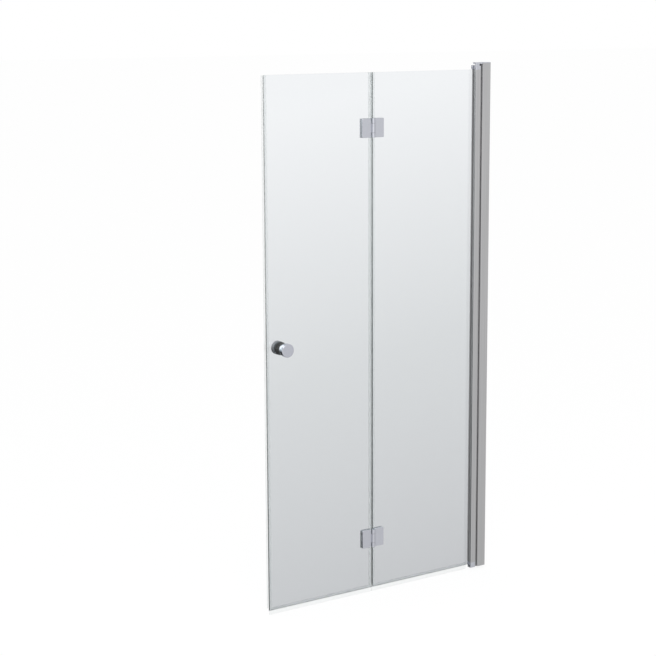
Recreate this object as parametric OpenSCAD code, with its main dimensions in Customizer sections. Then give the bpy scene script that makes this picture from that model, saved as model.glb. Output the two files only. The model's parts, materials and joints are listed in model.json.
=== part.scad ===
// Bifold shower door for a recess: a wall channel, a fixed profile that slides in it, two
// frameless panes joined by two glass hinges, and a pivot that lifts the door as it swings.
// Millimetres. +X points at the wall, -Y at the person outside, +Z up.
// Origin: bottom end of the wall channel, on its wall face and on its centre line.

/* [Door] */
// Width from the wall face to the tip of the closing seal
door_w = 1000; // [850:5:1150]
// Height of the wall channel with its top cap
door_h = 2000; // [1700:10:2200]
// Thickness of the two panes
glass_t = 6; // [5:0.5:8]
// Drop from the top of the door to the top edge of the glass
glass_drop = 27; // [25:0.5:40]
// Rise from the bottom of the channel to the bottom edge of the glass
glass_rise = 8; // [8:0.5:14]
// Distance of the front face of the glass behind the pivot axis
glass_offset = 8; // [8:0.25:9]
// Width of the left pane
left_pane_w = 456; // [380:1:500]
// Gap between the two panes at the fold
pane_gap = 6; // [5.5:0.25:7]

/* [Wall channel] */
// Width of the channel's visible front
channel_w = 38; // [36:1:45]
// Depth of the channel, front to back
channel_d = 32; // [32:0.5:36]
// Wall thickness of the channel
channel_wall = 1.8; // [1.5:0.1:2.5]
// Thickness of the cap on top of the channel
channel_cap_t = 3; // [2:0.5:4]
// Depth that the cap's plug reaches into the channel
channel_plug = 10; // [6:1:14]
// Radius of the holes for the wall screws
wall_hole_r = 3.2; // [2.5:0.1:3.5]
// Distance of the first and the last wall hole from the ends of the channel
wall_hole_inset = 100; // [60:5:200]

/* [Fixed profile] */
// Width of the profile's visible front
profile_w = 23; // [22:0.5:26]
// Depth of the profile's hollow front bar
profile_d = 8; // [7:0.25:8]
// Wall thickness of the profile
profile_wall = 1.6; // [1.2:0.1:2]
// Radius of the bar's rounded edges
profile_round = 2; // [1:0.25:2.5]
// Width of the shadow groove between the profile and the channel
groove_w = 10; // [9:0.5:14]
// Thickness of the neck at the bottom of the groove
neck_t = 2; // [1.5:0.1:2.4]
// Length of the neck's tabs behind the brackets
neck_overlap = 6; // [5:0.5:7]
// Length of the tongue inside the channel
tongue_w = 26; // [20:1:28]
// Clearance between the tongue and the channel's flanges
tongue_gap = 0.3; // [0.2:0.05:0.5]
// Radius of the three lock screws between channel and tongue
lock_screw_r = 2; // [1.5:0.1:2.5]
// Distance of the first and the last lock screw from the ends of the channel
lock_screw_inset = 150; // [120:5:250]

/* [Brackets and pivot] */
// Distance of the pivot axis from the left side of the profile
pivot_inset = 11; // [10.5:0.25:12]
// Thickness of the top bracket's arm
top_arm_t = 6; // [5:0.5:8]
// Thickness of the bottom bracket's arm
bottom_arm_t = 7; // [6:0.5:7]
// Height of the bottom bracket's front block
bottom_block_h = 21; // [18:0.5:26]
// Free height above the glass carrier, into which the door lifts
lift_space = 5; // [5:0.25:7]
// Rise of the door over its whole swing
lift = 4.5; // [3:0.25:4.5]
// Swing of the right leaf into the shower, in degrees
swing_max = 90; // [60:5:90]
// Radius of the two pivot pins
pin_r = 3; // [2.5:0.25:3.25]
// Length of the top pin below the arm
top_pin_len = 44; // [40:1:60]
// Length of the bottom pin above the arm
bottom_pin_len = 38; // [34:1:50]
// Radius of the counterbore for the top bracket's screw
bracket_bore_r = 4; // [3.5:0.1:4]
// Depth of that counterbore
bracket_bore_depth = 3; // [2.5:0.1:3.5]
// Distance of the top bracket's screw from the right side of the profile
bracket_screw_inset = 2.3; // [2.3:0.1:3]
// Distance of the top bracket's screw below the top of the door
bracket_screw_drop = 9; // [8.5:0.25:10]
// Radius of the top bracket's screw
bracket_screw_r = 2; // [1.5:0.1:2]
// Radius of the bottom bracket's screw, which runs up into the fixed profile
port_screw_r = 1.5; // [1:0.1:1.75]
// Reach of that screw above the bracket's block
port_screw_reach = 24; // [15:1:40]

/* [Glass carrier] */
// Outer radius of the carrier's tube
tube_r = 7.5; // [7:0.1:7.6]
// Radius of the tube's bore
bore_r = 5; // [4.8:0.1:5]
// Wall thickness of the slot that holds the glass
slot_wall = 2; // [1.5:0.1:2]
// Depth to which the glass sits in the slot
glass_grip = 10; // [8:0.5:10]
// Depth to which the slot's shorter back wall covers the glass
back_grip = 4; // [3:0.5:8]
// Thickness of the gasket round the glass in the slot
slot_gasket_t = 1; // [0.8:0.1:1]
// Width of the two keyways in the bore
key_w = 2; // [1.5:0.1:2.5]
// Depth of the keyways
key_d = 1.2; // [1:0.1:1.3]
// Height of the carrier's top cap
carrier_cap_h = 15; // [12:0.5:15]
// Depth of the spigots on the carrier's caps
spigot = 5; // [4:0.5:8]

/* [Lift cams] */
// Height of the fixed cam's base ring
cam_base_h = 5; // [4:0.25:5]
// Angle that one ramp of the fixed cam covers, in degrees
ramp_span = 150; // [148:1:160]
// Angle that one lug of the moving cam covers, in degrees
lug_span = 56; // [40:1:56]
// Length of the moving cam's hollow shank
cam_shank = 27; // [26:1:34]
// Length of the moving cam's closed top
cam_top_h = 10; // [8:0.5:14]
// Radius of the roll pin that locks the moving cam in the carrier
roll_pin_r = 1.25; // [1:0.05:1.5]
// Length of the guide bush on the top pin
bush_h = 14; // [10:1:20]

/* [Hinges] */
// Drop from the top edge of the glass to the middle of the upper hinge
hinge_drop = 202; // [150:1:400]
// Rise from the bottom edge of the glass to the middle of the lower hinge
hinge_rise = 198; // [150:1:400]
// Width of one hinge plate
plate_w = 39; // [34:1:48]
// Height of the hinge plates
plate_h = 70; // [60:1:90]
// Thickness of the outer hinge plates
plate_t = 7; // [6:0.25:7]
// Thickness of the inner clamp plates
clamp_t = 5; // [4.5:0.25:7]
// Thickness of the gaskets between plates and glass
plate_gasket_t = 1; // [0.8:0.1:1]
// Radius of the plates' corners
plate_round = 2.5; // [1:0.25:4]
// Chamfer along the plates' front edges
plate_chamfer = 0.8; // [0.4:0.1:1.2]
// Radius of the hinge barrel
barrel_r = 7; // [6:0.25:7.5]
// Gap between the barrel and the plates
barrel_gap = 2; // [1.5:0.25:3]
// Play between the plates when the door is folded flat
fold_play = 0.5; // [0.5:0.1:0.8]
// Fold of the left leaf onto the right leaf, in degrees
fold_max = 172; // [150:1:173]
// Radius of the hinge pin
hinge_pin_r = 3; // [2.5:0.25:3.5]
// Thickness of the slip washers between the knuckles
slip_t = 0.8; // [0.5:0.1:1.2]
// Radius of the clamp screws
clamp_screw_r = 2.5; // [2:0.1:3]
// Distance between the two screws of a plate
clamp_screw_gap = 40; // [34:1:44]
// Radius of the glass holes for the clamp screws
glass_hole_r = 5; // [4:0.25:6]

/* [Seals] */
// Wall thickness of the clear seals
seal_t = 1; // [0.8:0.1:1]
// Length of the legs that grip the panes at the fold and at the closing edge
seal_leg = 10; // [8:0.5:12]
// Height of the legs that grip the bottom of the panes
bottom_leg = 9; // [7:0.5:12]
// Drop of the bottom lip below the glass
bottom_lip = 18; // [14:0.5:20]
// Reach of the drip fin behind the glass
drip_reach = 3; // [2:0.25:4]
// Reach of the closing seal beyond the left pane
closing_lip = 9; // [7:0.5:12]

/* [Knob] */
// Distance of the knob's axis from the left edge of the glass
knob_inset = 57; // [50:1:80]
// Height of the knob's axis above the bottom edge of the glass
knob_rise = 984; // [800:1:1100]
// Radius of the knob's head
knob_r = 25; // [20:0.5:28]
// Length of the outer knob from the glass
knob_out = 54; // [45:1:60]
// Length of the knob's head
knob_head = 17; // [14:0.5:20]
// Length of the inner knob from the glass
knob_in = 21; // [18:0.5:30]
// Depth of the knob's waist
knob_waist = 2.5; // [1:0.25:4]
// Radius of the rounded rims
knob_rim = 2; // [1:0.25:3]
// Radius of the through stud
stud_r = 3; // [2.5:0.25:4]
// Radius of the knob's hole in the glass
knob_hole_r = 6; // [5.5:0.25:7]
// Thickness of the washers between the knob and the glass
knob_washer_t = 1; // [0.8:0.1:1.5]
// Height of the outer knob's base
knob_base = 5; // [4:0.5:8]
// Radius by which the head stands past the base
knob_step = 1; // [0.5:0.25:2]
// Height and inset of the neck behind the inner knob
knob_neck = 3; // [2:0.5:5]
// Radius of the grub screw in the outer knob
grub_r = 2; // [1.5:0.1:2.5]
// Length of the grub screw
grub_length = 10; // [6:0.5:14]

/* [Hidden] */
$fn = 64;
// Radial clearance of a turning or pushed-in pin
fit = 0.05;
// Clearance between pieces that pass each other
pass = 0.3;
// Overshoot of a cut past the face it opens
over = 1;
// Clearance past the ends of the glass, of the caps and of the screws
end_gap = 1;
// Metal left over the ends of the blind holes for pins and screws
skin = 1;
// Metal left in front of the blind screw holes in the hinge plates
plate_skin = 2;
// Metal left over the stud in the inner knob
knob_skin = 5;
// Height of the flat screw heads
flat_head_h = 2;
// Share of a screw's radius that its hexagon socket takes
socket_share = 0.8;
// Clearance between the two helical faces of the cams
cam_play = 0.12;
// Angle left free at each end of a ramp, in degrees
ramp_margin = 2;
// Angle of one facet of the helical faces, in degrees
ramp_step = 6;
// Height of the collar and the clip that hold the guide bush
collar_h = 1.5;
// Play of the guide bush between its collar and its clip
bush_play = 0.2;
// Share of a knuckle in the plate's height: one quarter, one half, one quarter
knuckle_share = 0.25;
// Number of wall holes, in one row
wall_holes = 4;
// Number of lock screws, in one row
lock_screws = 3;
// Number of sides of round corners that are chamfered
chamfer_sides = 32;

aluminium_colour = [0.70, 0.70, 0.69];
plated_colour = [0.76, 0.77, 0.80];
steel_colour = [0.60, 0.60, 0.62];
black_colour = [0.08, 0.08, 0.08];
acetal_colour = [0.90, 0.90, 0.88];
glass_colour = [0.82, 0.87, 0.88, 0.5];
seal_colour = [0.93, 0.94, 0.94, 0.6];
gasket_colour = [0.88, 0.88, 0.88];

profile_left = -(channel_w + groove_w + profile_w);
profile_right = profile_left + profile_w;
front_y = -channel_d / 2;
bar_back_y = front_y + profile_d;
neck_front_y = bar_back_y - neck_t;
tongue_left = -channel_w + neck_t;
tongue_half = channel_d / 2 - channel_wall - tongue_gap;
bar_mid_y = front_y + profile_d / 2;
channel_top_z = door_h - channel_cap_t;
lock_screw_x = tongue_left + tongue_w / 2;
wall_hole_zs = row(wall_holes, wall_hole_inset);
lock_screw_zs = row(lock_screws, lock_screw_inset);
pivot_x = profile_left + pivot_inset;

glass_y0 = glass_offset;
glass_y1 = glass_offset + glass_t;
glass_z0 = glass_rise;
glass_z1 = door_h - glass_drop;
left_edge = -(door_w - closing_lip);
fold_x = left_edge + left_pane_w + pane_gap / 2;
right_edge = profile_left + glass_grip;

top_arm_z = door_h - top_arm_t;
carrier_z1 = glass_z1 + end_gap;
carrier_z0 = bottom_block_h;
carrier_cap_z1 = top_arm_z - lift_space;
bottom_cap_z0 = bottom_arm_t + end_gap;

bracket_screw_x = profile_right - bracket_screw_inset;
bracket_screw_z = door_h - bracket_screw_drop;
bracket_seat_y = front_y + bracket_bore_depth;

bush_z0 = top_arm_z - top_pin_len + 2 * collar_h + bush_play;
bush_z1 = bush_z0 + bush_h;
collar_r = (pin_r + bore_r) / 2;

slot_y0 = glass_y0 - slot_gasket_t;
slot_y1 = glass_y1 + slot_gasket_t;
slot_floor = right_edge + slot_gasket_t;

lift_rate = lift / swing_max;
cam_low_z = bottom_arm_t + cam_base_h;
cam_high_z = cam_low_z + lift_rate * ramp_span;
cam_ring_z = cam_high_z + pass;
cam_top_z = cam_ring_z + cam_shank;

hinge_zs = [glass_z1 - hinge_drop, glass_z0 + hinge_rise];
plate_back_y = glass_y0 - plate_gasket_t;
plate_front_y = plate_back_y - plate_t;
axis_y = plate_front_y - fold_play;
clamp_front_y = glass_y1 + plate_gasket_t;
clamp_back_y = clamp_front_y + clamp_t;
plate_inner = barrel_r + barrel_gap;
knuckle_h = plate_h * knuckle_share;
seal_notch = plate_inner - pass;
plate_middle = plate_h / 2 - knuckle_h;

knob_x = left_edge + knob_inset;
knob_z = glass_z0 + knob_rise;
stud_out = knob_out / 2;
stud_in = knob_in - knob_skin;
grub_h = stud_out - 2 * grub_r;

left = -1;
right = 1;

// ---- Shared shapes ----

// Heights of a row that starts and ends at an inset from the ends of the channel
function row(count, inset) =
    [for (i = [0 : count - 1]) inset + i * (door_h - 2 * inset) / (count - 1)];

// Box between two opposite corners
module span(low, high) {
    translate(low) cube(high - low);
}

// Flat shape drawn in X and Y, raised from z0 to z1
module rise(z0, z1) {
    translate([0, 0, z0]) linear_extrude(z1 - z0) children();
}

// Flat shape drawn in X and Z, carried from y0 to y1
module carry(y0, y1) {
    translate([0, y1, 0]) rotate([90, 0, 0]) linear_extrude(y1 - y0) children();
}

// Round bar along Y from y0 to y1
module bar_y(x, z, r, y0, y1) {
    translate([x, y1, z]) rotate([90, 0, 0]) cylinder(h = y1 - y0, r = r);
}

// Round bar along Z from z0 to z1
module bar_z(x, y, r, z0, z1) {
    translate([x, y, z0]) cylinder(h = z1 - z0, r = r);
}

// Flat rectangle between two corners
module flat(low, high) {
    translate(low) square(high - low);
}

// Flat rectangle with four round corners
module flat_round(low, high, r) {
    flat(low + [r, 0], high - [r, 0]);
    flat(low + [0, r], high - [0, r]);
    for (x = [low[0] + r, high[0] - r])
        for (y = [low[1] + r, high[1] - r])
            translate([x, y]) circle(r);
}

// Countersunk screw with a hexagon socket: its head's face lies at the origin, its tip at +Z
module sunk_screw(r, length) {
    head_r = 2 * r;
    difference() {
        union() {
            cylinder(h = r, r1 = head_r, r2 = r);
            cylinder(h = length, r = r);
        }
        translate([0, 0, -over]) cylinder(h = over + r, r = r * socket_share, $fn = 6);
    }
}

// Hole for such a screw, wider all round by the fit
module sunk_hole(r, length) {
    head_r = 2 * r;
    translate([0, 0, -over]) cylinder(h = over, r = head_r + fit);
    cylinder(h = r, r1 = head_r + fit, r2 = r + fit);
    cylinder(h = length, r = r + fit);
}

// Part of a ring between two angles, whose lower and upper faces climb steadily:
// z_low and z_high hold the heights at the first and at the last angle
module helical_sector(r_in, r_out, angles, z_low, z_high) {
    steps = ceil((angles[1] - angles[0]) / ramp_step);
    function at(i, range) = range[0] + (range[1] - range[0]) * i / steps;
    function corner(i, r, range) =
        let (a = at(i, angles)) [r * cos(a), r * sin(a), at(i, range)];
    points = [
        for (i = [0 : steps])
            for (c = [[r_in, z_low], [r_out, z_low], [r_out, z_high], [r_in, z_high]])
                corner(i, c[0], c[1])
    ];
    sides = [
        for (i = [0 : steps - 1])
            for (k = [0 : 3])
                let (a = 4 * i + k, b = 4 * i + (k + 1) % 4)
                    each [[a, b, b + 4], [a, b + 4, a + 4]]
    ];
    last = 4 * steps;
    ends = [[3, 2, 1, 0], [last, last + 1, last + 2, last + 3]];
    polyhedron(points = points, faces = concat(sides, ends));
}

// ---- Wall channel ----

module channel_outline() {
    difference() {
        flat_round([-channel_w, front_y], [0, -front_y], channel_wall / 2);
        flat([-channel_w - over, front_y + channel_wall], [-channel_wall, -front_y - channel_wall]);
    }
}

module wall_channel() {
    color(aluminium_colour)
    difference() {
        rise(0, channel_top_z) channel_outline();
        for (z = wall_hole_zs)
            translate([-channel_wall - over, 0, z])
                rotate([0, 90, 0]) cylinder(h = channel_wall + 2 * over, r = wall_hole_r);
        for (z = lock_screw_zs)
            bar_y(lock_screw_x, z, lock_screw_r + fit,
                  -front_y - channel_wall - over, -front_y + over);
    }
}

// Plate that closes the channel's top, with a plug that stands inside it
module channel_top_cap() {
    plug_right = -channel_wall - pass;
    plug_left = tongue_left + tongue_w + pass;
    plug_half = channel_d / 2 - channel_wall - pass;
    color(plated_colour) {
        rise(channel_top_z, door_h) flat_round([-channel_w, front_y], [0, -front_y], channel_wall / 2);
        rise(channel_top_z - channel_plug, channel_top_z)
            flat([plug_left, -plug_half], [plug_right, plug_half]);
    }
}

// ---- Fixed profile ----

// Hollow bar in front, with a port for the bracket's screw
module bar_outline() {
    port_r = profile_d / 2 - profile_wall / 2;
    difference() {
        flat_round([profile_left, front_y], [profile_right, bar_back_y], profile_round);
        difference() {
            flat([profile_left + profile_wall, front_y + profile_wall],
                 [profile_right - profile_wall, bar_back_y - profile_wall]);
            translate([pivot_x, bar_mid_y]) circle(port_r);
        }
        translate([pivot_x, bar_mid_y]) circle(port_screw_r + fit);
    }
}

// Neck at the bottom of the groove, with its tab behind the bar, and the hollow tongue
module tongue_outline() {
    flat([profile_right - neck_overlap, neck_front_y], [tongue_left + profile_wall, bar_back_y]);
    difference() {
        flat([tongue_left, -tongue_half], [tongue_left + tongue_w, tongue_half]);
        flat([tongue_left + profile_wall, -tongue_half + profile_wall],
             [tongue_left + tongue_w - profile_wall, tongue_half - profile_wall]);
    }
}

module fixed_profile() {
    color(aluminium_colour)
    difference() {
        union() {
            rise(bottom_block_h, glass_z1) bar_outline();
            rise(0, channel_top_z - pass) tongue_outline();
        }
        span([profile_right - neck_overlap - over, neck_front_y - over, -over],
             [profile_right, bar_back_y + over, bottom_block_h]);
        span([profile_right - neck_overlap - over, neck_front_y - over, top_arm_z],
             [tongue_left, bar_back_y + over, door_h]);
        for (z = lock_screw_zs)
            bar_y(lock_screw_x, z, lock_screw_r + fit,
                  tongue_half - profile_wall - over, tongue_half + over);
        bracket_screw_hole();
    }
}

module profile_lock_screws() {
    reach = channel_wall + tongue_gap + profile_wall + end_gap;
    color(steel_colour)
    for (z = lock_screw_zs)
        translate([lock_screw_x, -front_y, z]) rotate([90, 0, 0])
            difference() {
                union() {
                    translate([0, 0, -flat_head_h]) cylinder(h = flat_head_h, r = 2 * lock_screw_r);
                    cylinder(h = reach, r = lock_screw_r);
                }
                translate([0, 0, -flat_head_h - over])
                    cylinder(h = flat_head_h / 2 + over, r = lock_screw_r * socket_share, $fn = 6);
            }
}

// ---- Brackets ----

module bracket_screw_hole() {
    bar_y(bracket_screw_x, bracket_screw_z, bracket_screw_r + fit, front_y, bar_back_y + over);
}

// Arm from the front of the profile back to the pivot, with a round end about it
module arm(right_x) {
    flat_round([profile_left, front_y], [right_x, profile_round], profile_round);
    translate([pivot_x, 0]) circle(pivot_inset);
}

// Front block, and the arm that reaches back over the carrier
module top_bracket() {
    color(plated_colour)
    difference() {
        union() {
            rise(glass_z1, door_h)
                flat_round([profile_left, front_y], [profile_right, bar_back_y], profile_round);
            rise(top_arm_z, door_h) arm(-channel_w - pass);
        }
        span([profile_right - neck_overlap, neck_front_y, glass_z1 - over],
             [profile_right + over, bar_back_y + over, top_arm_z]);
        bar_y(bracket_screw_x, bracket_screw_z, bracket_bore_r, front_y - over, bracket_seat_y);
        bracket_screw_hole();
        bar_z(pivot_x, 0, pin_r + fit, top_arm_z - over, door_h - skin);
    }
}

// Black socket screw at the bottom of its counterbore
module top_bracket_screw() {
    head_r = bracket_bore_r - pass;
    color(black_colour)
    translate([bracket_screw_x, bracket_seat_y, bracket_screw_z]) rotate([90, 0, 0])
        difference() {
            union() {
                cylinder(h = flat_head_h, r = head_r);
                translate([0, 0, bracket_seat_y - bar_back_y])
                    cylinder(h = bar_back_y - bracket_seat_y, r = bracket_screw_r);
            }
            translate([0, 0, flat_head_h / 2])
                cylinder(h = flat_head_h, r = bracket_screw_r * socket_share, $fn = 6);
        }
}

module bottom_bracket() {
    color(plated_colour)
    difference() {
        union() {
            rise(0, bottom_block_h)
                flat_round([profile_left, front_y], [profile_right, bar_back_y], profile_round);
            rise(0, bottom_arm_t) arm(profile_right);
        }
        bar_z(pivot_x, 0, pin_r + fit, skin, bottom_arm_t + over);
        translate([pivot_x, bar_mid_y, 0]) sunk_hole(port_screw_r, bottom_block_h + over);
    }
}

// Countersunk screw from below, through the block into the port of the hollow bar
module bottom_bracket_screw() {
    color(steel_colour)
    translate([pivot_x, bar_mid_y, 0]) sunk_screw(port_screw_r, bottom_block_h + port_screw_reach);
}

// ---- Pivot and lift ----

// Pin under the top arm, with the collar above the guide bush
module top_pivot_pin() {
    color(steel_colour) {
        bar_z(pivot_x, 0, pin_r, top_arm_z - top_pin_len, door_h - skin);
        bar_z(pivot_x, 0, collar_r, bush_z1 + bush_play, bush_z1 + bush_play + collar_h);
    }
}

// Open ring that snaps round the top pin below the guide bush
module top_pin_clip() {
    pin_z0 = top_arm_z - top_pin_len;
    color(black_colour)
    difference() {
        bar_z(pivot_x, 0, collar_r, bush_z0 - bush_play - collar_h, bush_z0 - bush_play);
        bar_z(pivot_x, 0, pin_r + fit, pin_z0, bush_z0);
        span([pivot_x - pin_r / 2, 0, pin_z0], [pivot_x + pin_r / 2, bore_r, bush_z0]);
    }
}

module bottom_pivot_pin() {
    color(steel_colour)
    bar_z(pivot_x, 0, pin_r, skin, bottom_arm_t + bottom_pin_len);
}

// Two ramps on a ring round the bottom pin, each running out below the ring's top
module fixed_lift_cam() {
    ring_in = pin_r + fit;
    ring_out = bore_r - pass;
    run_out = 2 * ramp_margin;
    color(acetal_colour)
    translate([pivot_x, 0, 0]) {
        difference() {
            bar_z(0, 0, ring_out, bottom_arm_t, cam_low_z);
            bar_z(0, 0, ring_in, bottom_arm_t - over, cam_low_z + over);
        }
        for (turn = [0, 180])
            rotate([0, 0, turn])
                helical_sector(ring_in + fit, ring_out - fit, [0, ramp_span + run_out],
                               [cam_low_z - over, cam_low_z - over],
                               [cam_high_z, cam_low_z - lift_rate * run_out]);
    }
}

// Ring keyed in the carrier's bore, with two lugs that climb the ramps
module moving_lift_cam() {
    ring_in = pin_r + fit;
    ring_out = bore_r - fit;
    lug_angles = [ramp_span - ramp_margin - lug_span, ramp_span - ramp_margin];
    lug_low = [for (a = lug_angles) cam_low_z + lift_rate * (ramp_span - a) + cam_play];
    color(acetal_colour)
    translate([pivot_x, 0, 0])
    difference() {
        union() {
            difference() {
                union() {
                    bar_z(0, 0, ring_out, cam_ring_z, cam_top_z + cam_top_h);
                    rise(carrier_z0 + pass, cam_top_z + cam_top_h) keys(fit);
                }
                bar_z(0, 0, ring_in, cam_ring_z - over, cam_top_z);
            }
            for (turn = [0, 180])
                rotate([0, 0, turn])
                    helical_sector(ring_in + fit, ring_out - fit, lug_angles,
                                   lug_low, [cam_ring_z + over, cam_ring_z + over]);
        }
        roll_pin_hole();
    }
}

// Bar across the bore, whose two ends are the keys on the pieces that turn with the carrier
module keys(gap) {
    reach = bore_r + key_d - gap;
    flat([-reach, -key_w / 2 + gap], [reach, key_w / 2 - gap]);
}

module roll_pin_hole() {
    translate([-tube_r - over, 0, cam_top_z + cam_top_h / 2])
        rotate([0, 90, 0]) cylinder(h = 2 * (tube_r + over), r = roll_pin_r + fit);
}

module cam_roll_pin() {
    half = tube_r - pass;
    color(steel_colour)
    translate([pivot_x - half, 0, cam_top_z + cam_top_h / 2])
        rotate([0, 90, 0]) cylinder(h = 2 * half, r = roll_pin_r);
}

// Bush that turns with the carrier on the top pin, but stays at its height
module guide_bush() {
    color(acetal_colour)
    translate([pivot_x, 0, 0])
    difference() {
        union() {
            bar_z(0, 0, bore_r - fit, bush_z0, bush_z1);
            rise(bush_z0, bush_z1) keys(fit);
        }
        bar_z(0, 0, pin_r + fit, bush_z0 - over, bush_z1 + over);
    }
}

// ---- Glass carrier ----

// Outer outline: a round tube with the glass slot behind it, whose back wall is the shorter one
module carrier_shape() {
    translate([pivot_x, 0]) circle(tube_r);
    flat_round([profile_left, slot_y0 - slot_wall], [slot_floor + slot_wall, slot_y1], slot_wall / 2);
    flat_round([right_edge - back_grip, slot_y0], [slot_floor + slot_wall, slot_y1 + slot_wall],
               slot_wall / 2);
}

module slot_shape() {
    flat([profile_left - over, slot_y0], [slot_floor, slot_y1]);
}

module glass_carrier() {
    color(aluminium_colour)
    difference() {
        rise(carrier_z0, carrier_z1)
            difference() {
                carrier_shape();
                slot_shape();
                translate([pivot_x, 0]) {
                    circle(bore_r);
                    keys(0);
                }
            }
        translate([pivot_x, 0, 0]) roll_pin_hole();
    }
}

module carrier_top_cap() {
    color(plated_colour)
    difference() {
        union() {
            rise(carrier_z1, carrier_cap_z1) carrier_shape();
            bar_z(pivot_x, 0, bore_r - fit, carrier_z1 - spigot, carrier_z1);
        }
        bar_z(pivot_x, 0, pin_r + pass, carrier_z1 - spigot - over, carrier_cap_z1 + over);
    }
}

module carrier_bottom_cap() {
    color(plated_colour)
    difference() {
        rise(bottom_cap_z0, carrier_z0) carrier_shape();
        rise(bottom_cap_z0 - over, carrier_z0 + over) {
            slot_shape();
            translate([pivot_x, 0]) circle(bore_r);
        }
    }
}

// Gasket round the edge of the right pane, with one leg as long as each wall of the slot
module carrier_gasket() {
    color(gasket_colour)
    rise(glass_z0, glass_z1)
        difference() {
            union() {
                flat([profile_left, slot_y0], [slot_floor, glass_y0]);
                flat([right_edge - back_grip, slot_y0], [slot_floor, slot_y1]);
            }
            flat([profile_left - over, glass_y0], [right_edge, glass_y1]);
        }
}

// ---- Panes ----

// A pane between two edges, drilled for both hinges on one side of the fold
module pane(x0, x1, side) {
    difference() {
        span([x0, glass_y0, glass_z0], [x1, glass_y1, glass_z1]);
        for (z = hinge_zs)
            for (step = [-1, 1])
                bar_y(screw_x(side), z + step * clamp_screw_gap / 2, glass_hole_r,
                      glass_y0 - over, glass_y1 + over);
        children();
    }
}

function screw_x(side) = fold_x + side * (plate_inner + plate_w / 2);

module right_pane() {
    color(glass_colour) pane(fold_x + pane_gap / 2, right_edge, right);
}

module left_pane() {
    color(glass_colour)
    pane(left_edge, fold_x - pane_gap / 2, left)
        bar_y(knob_x, knob_z, knob_hole_r, glass_y0 - over, glass_y1 + over);
}

// ---- Seals ----

// Clip on the pane's edge beside the fold, drawn for the right side
module fold_clip() {
    edge = pane_gap / 2;
    difference() {
        flat([edge - seal_t, glass_y0 - seal_t], [edge + seal_leg, glass_y1 + seal_t]);
        flat([edge, glass_y0], [edge + seal_leg + over, glass_y1]);
    }
}

// Full-height clip, cut back where the hinge plates sit
module fold_seal(side) {
    translate([fold_x, 0, 0]) mirror([side == left ? 1 : 0, 0, 0])
    difference() {
        rise(glass_z0 + bottom_leg + pass, glass_z1) {
            fold_clip();
            children();
        }
        for (z = hinge_zs)
            span([seal_notch, glass_y0 - seal_t - over, z - plate_h / 2 - pass],
                 [seal_leg + pane_gap, glass_y1 + seal_t + over, z + plate_h / 2 + pass]);
    }
}

module right_fold_seal() {
    color(seal_colour) fold_seal(right);
}

// The left clip carries the bulb that closes the gap
module left_fold_seal() {
    bulb_r = (pane_gap - 2 * seal_t - pass) / 2;
    color(seal_colour)
    fold_seal(left)
        translate([pane_gap / 2 - seal_t - bulb_r + fit, glass_y0 + glass_t / 2]) circle(bulb_r);
}

// Clip under a pane, with a lip that hangs down and a drip fin behind it
module bottom_outline() {
    lip_y = glass_y0 + glass_t / 2;
    difference() {
        flat([glass_y0 - seal_t, glass_z0 - seal_t], [glass_y1 + seal_t, glass_z0 + bottom_leg]);
        flat([glass_y0, glass_z0], [glass_y1, glass_z0 + bottom_leg + over]);
    }
    flat([lip_y - seal_t / 2, glass_z0 - bottom_lip], [lip_y + seal_t / 2, glass_z0]);
    fin_tip_y = glass_y1 + drip_reach;
    fin_tip_z = glass_z0 - 2 * drip_reach;
    polygon([
        [fin_tip_y - seal_t, fin_tip_z],
        [fin_tip_y, fin_tip_z],
        [glass_y1 + seal_t, glass_z0],
        [glass_y1, glass_z0]
    ]);
}

// Outline drawn in Y and Z, carried from x0 to x1
module bottom_seal(x0, x1) {
    translate([x0, 0, 0]) rotate([90, 0, 90]) linear_extrude(x1 - x0) bottom_outline();
}

// Ends short of the arc in which the bottom arm's corner passes
module right_bottom_seal() {
    color(seal_colour)
    bottom_seal(fold_x + pass, pivot_x + front_y - pass);
}

module left_bottom_seal() {
    color(seal_colour)
    bottom_seal(left_edge, fold_x - pass);
}

// Clip on the left edge of the door, with a soft lip that meets the wall or the side panel
module closing_seal() {
    mid_y = glass_y0 + glass_t / 2;
    lip_r = seal_t;
    color(seal_colour)
    rise(glass_z0 + bottom_leg + pass, glass_z1) {
        difference() {
            flat([left_edge - seal_t, glass_y0 - seal_t], [left_edge + seal_leg, glass_y1 + seal_t]);
            flat([left_edge, glass_y0], [left_edge + seal_leg + over, glass_y1]);
        }
        flat([-door_w + lip_r, mid_y - seal_t / 2], [left_edge, mid_y + seal_t / 2]);
        translate([-door_w + lip_r, mid_y]) circle(lip_r);
    }
}

// ---- Hinges ----

// Plate with round corners and chamfered front edges, drawn for the right side at z = 0
module plate_solid() {
    low = [plate_inner, -plate_h / 2];
    high = [plate_inner + plate_w, plate_h / 2];
    step = [plate_chamfer, plate_chamfer];
    carry(plate_front_y + plate_chamfer, plate_back_y) flat_round(low, high, plate_round);
    hull() {
        carry(plate_front_y + plate_chamfer, plate_front_y + 2 * plate_chamfer)
            flat_round(low, high, plate_round, $fn = chamfer_sides);
        carry(plate_front_y, plate_front_y + plate_chamfer)
            flat_round(low + step, high - step, plate_round - plate_chamfer / 2, $fn = chamfer_sides);
    }
}

// One knuckle of the barrel and the web that joins it to its plate
module knuckle(z0, z1) {
    bar_z(0, axis_y, barrel_r, z0, z1);
    span([0, plate_front_y + fold_play, z0], [plate_inner + over, plate_back_y - seal_t, z1]);
}

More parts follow.
